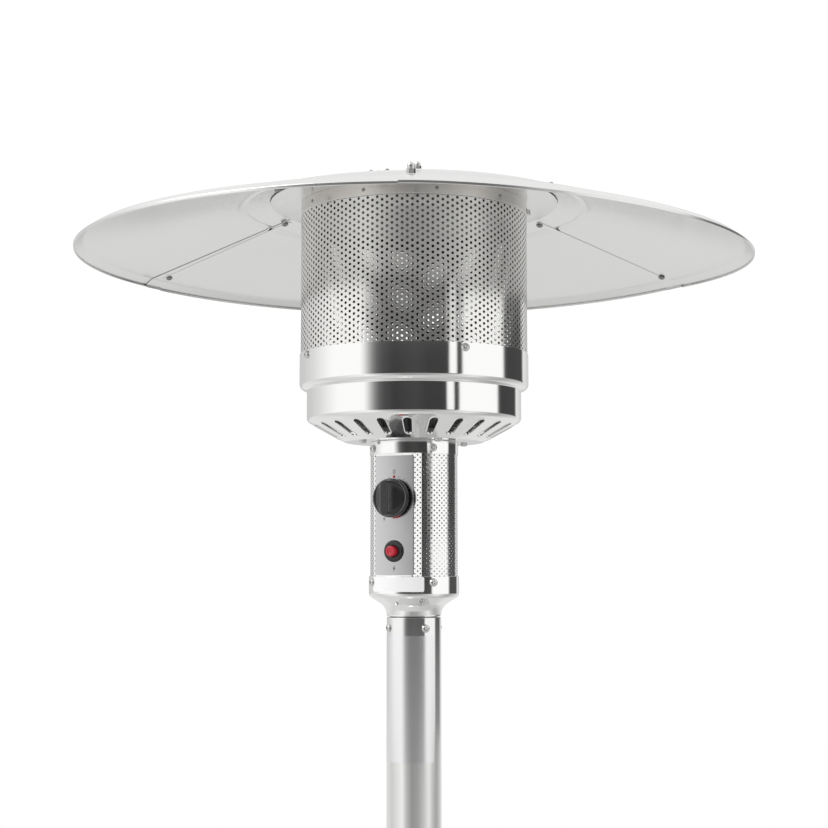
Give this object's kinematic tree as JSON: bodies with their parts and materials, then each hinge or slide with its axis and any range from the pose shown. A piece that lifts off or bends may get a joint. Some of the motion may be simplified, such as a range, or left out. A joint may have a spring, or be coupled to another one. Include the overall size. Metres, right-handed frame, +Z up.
{
  "type": "gas patio heater",
  "caption": "Free-standing gas patio heater: shallow round reflector over a perforated emitter and burner bowl, control housing on a tall post, lift-up tank housing on a weighted wheeled base.",
  "frame": {"origin": "centre of the round base on the ground, on the axis of the post", "axes": "+Z up the post, -Y out of the control panel at the front, +X to the right as seen from the front"},
  "size_m": [0.8127, 0.8128, 2.1813],
  "materials": {
    "polished_steel": "polished",
    "reflector_sheet": "satin",
    "emitter_steel": "satin",
    "neck_steel": "brushed",
    "panel_steel": "brushed",
    "fastener_steel": "polished",
    "galvanised_steel": "satin",
    "black_steel": "satin",
    "cylinder_paint": "gloss",
    "cast_alloy": "satin",
    "brass": "satin",
    "black_plastic": "satin",
    "red_plastic": "gloss",
    "white_gloss": "glazed",
    "tyre_rubber": "matt"
  },
  "bodies": {
    "stand": {"axle_caps": "black_plastic", "ballast_plate": "black_steel", "base_pan": "polished_steel", "bowl_screws": "fastener_steel", "burner_bowl": "polished_steel", "burner_head": "galvanised_steel", "control_cover": "polished_steel", "control_cup": "polished_steel", "control_panel": "panel_steel", "control_ring": "polished_steel", "cylinder_collar": "cylinder_paint", "cylinder_valve": "brass", "emitter_lid": "emitter_steel", "emitter_screen": "emitter_steel", "gas_cylinder": "cylinder_paint", "gas_jet": "brass", "gas_valve": "cast_alloy", "housing_screws": "fastener_steel", "igniter_bezel": "black_plastic", "igniter_body": "black_plastic", "igniter_nut": "black_plastic", "mixing_tube": "galvanised_steel", "neck_band": "neck_steel", "neck_rivets": "fastener_steel", "pilot_burner": "galvanised_steel", "post": "polished_steel", "post_socket": "black_steel", "post_support_1": "black_steel", "post_support_2": "black_steel", "post_support_3": "black_steel", "reflector_cap": "reflector_sheet", "reflector_segment_1": "reflector_sheet", "reflector_segment_2": "reflector_sheet", "reflector_segment_3": "reflector_sheet", "reflector_studs": "fastener_steel", "regulator": "cast_alloy", "seam_nuts": "fastener_steel", "seam_screws": "fastener_steel", "socket_screws": "fastener_steel", "spark_electrode": "white_gloss", "supply_pipe": "galvanised_steel", "support_bolts": "fastener_steel", "thermocouple": "galvanised_steel", "tilt_switch": "galvanised_steel", "wheel_axle": "fastener_steel", "wheel_bracket": "black_steel", "wing_nuts": "fastener_steel"},
    "tank_housing": {"housing_shell": "polished_steel", "housing_lid": "polished_steel"},
    "plunger": {"valve_plunger": "brass"},
    "knob": {"control_knob": "black_plastic", "valve_stem": "brass"},
    "igniter_button": {"igniter_button": "red_plastic"},
    "wheel_left_body": {"wheel_left": "black_plastic", "tyre_left": "tyre_rubber"},
    "wheel_right_body": {"wheel_right": "black_plastic", "tyre_right": "tyre_rubber"},
    "handwheel": {"valve_handwheel": "black_plastic"}
  },
  "joints": [
    {"name": "housing_lift", "type": "slide", "parent": "stand", "child": "tank_housing", "axis": [0, 0, 1], "range_m": [0, 0.5]},
    {"name": "knob_push", "type": "slide", "parent": "stand", "child": "plunger", "axis": [0, 1, 0], "range_m": [0, 0.004], "stiffness_N_per_m": 1500},
    {"name": "knob_turn", "type": "hinge", "parent": "plunger", "child": "knob", "pos_m": [-0.0042, -0.0428, 1.8094], "axis": [0, -1, 0], "range_deg": [0, 210]},
    {"name": "igniter_press", "type": "slide", "parent": "stand", "child": "igniter_button", "axis": [0, 1, 0], "range_m": [0, 0.005], "stiffness_N_per_m": 1200},
    {"name": "wheel_left_spin", "type": "hinge", "parent": "stand", "child": "wheel_left_body", "pos_m": [0, 0.285, 0.056], "axis": [1, 0, 0], "continuous": true},
    {"name": "wheel_right_spin", "type": "hinge", "parent": "stand", "child": "wheel_right_body", "pos_m": [0, 0.285, 0.056], "axis": [1, 0, 0], "continuous": true},
    {"name": "cylinder_valve_turn", "type": "hinge", "parent": "stand", "child": "handwheel", "pos_m": [0, 0, 0.488], "axis": [0, 0, 1], "range_deg": [0, 720]}
  ]
}
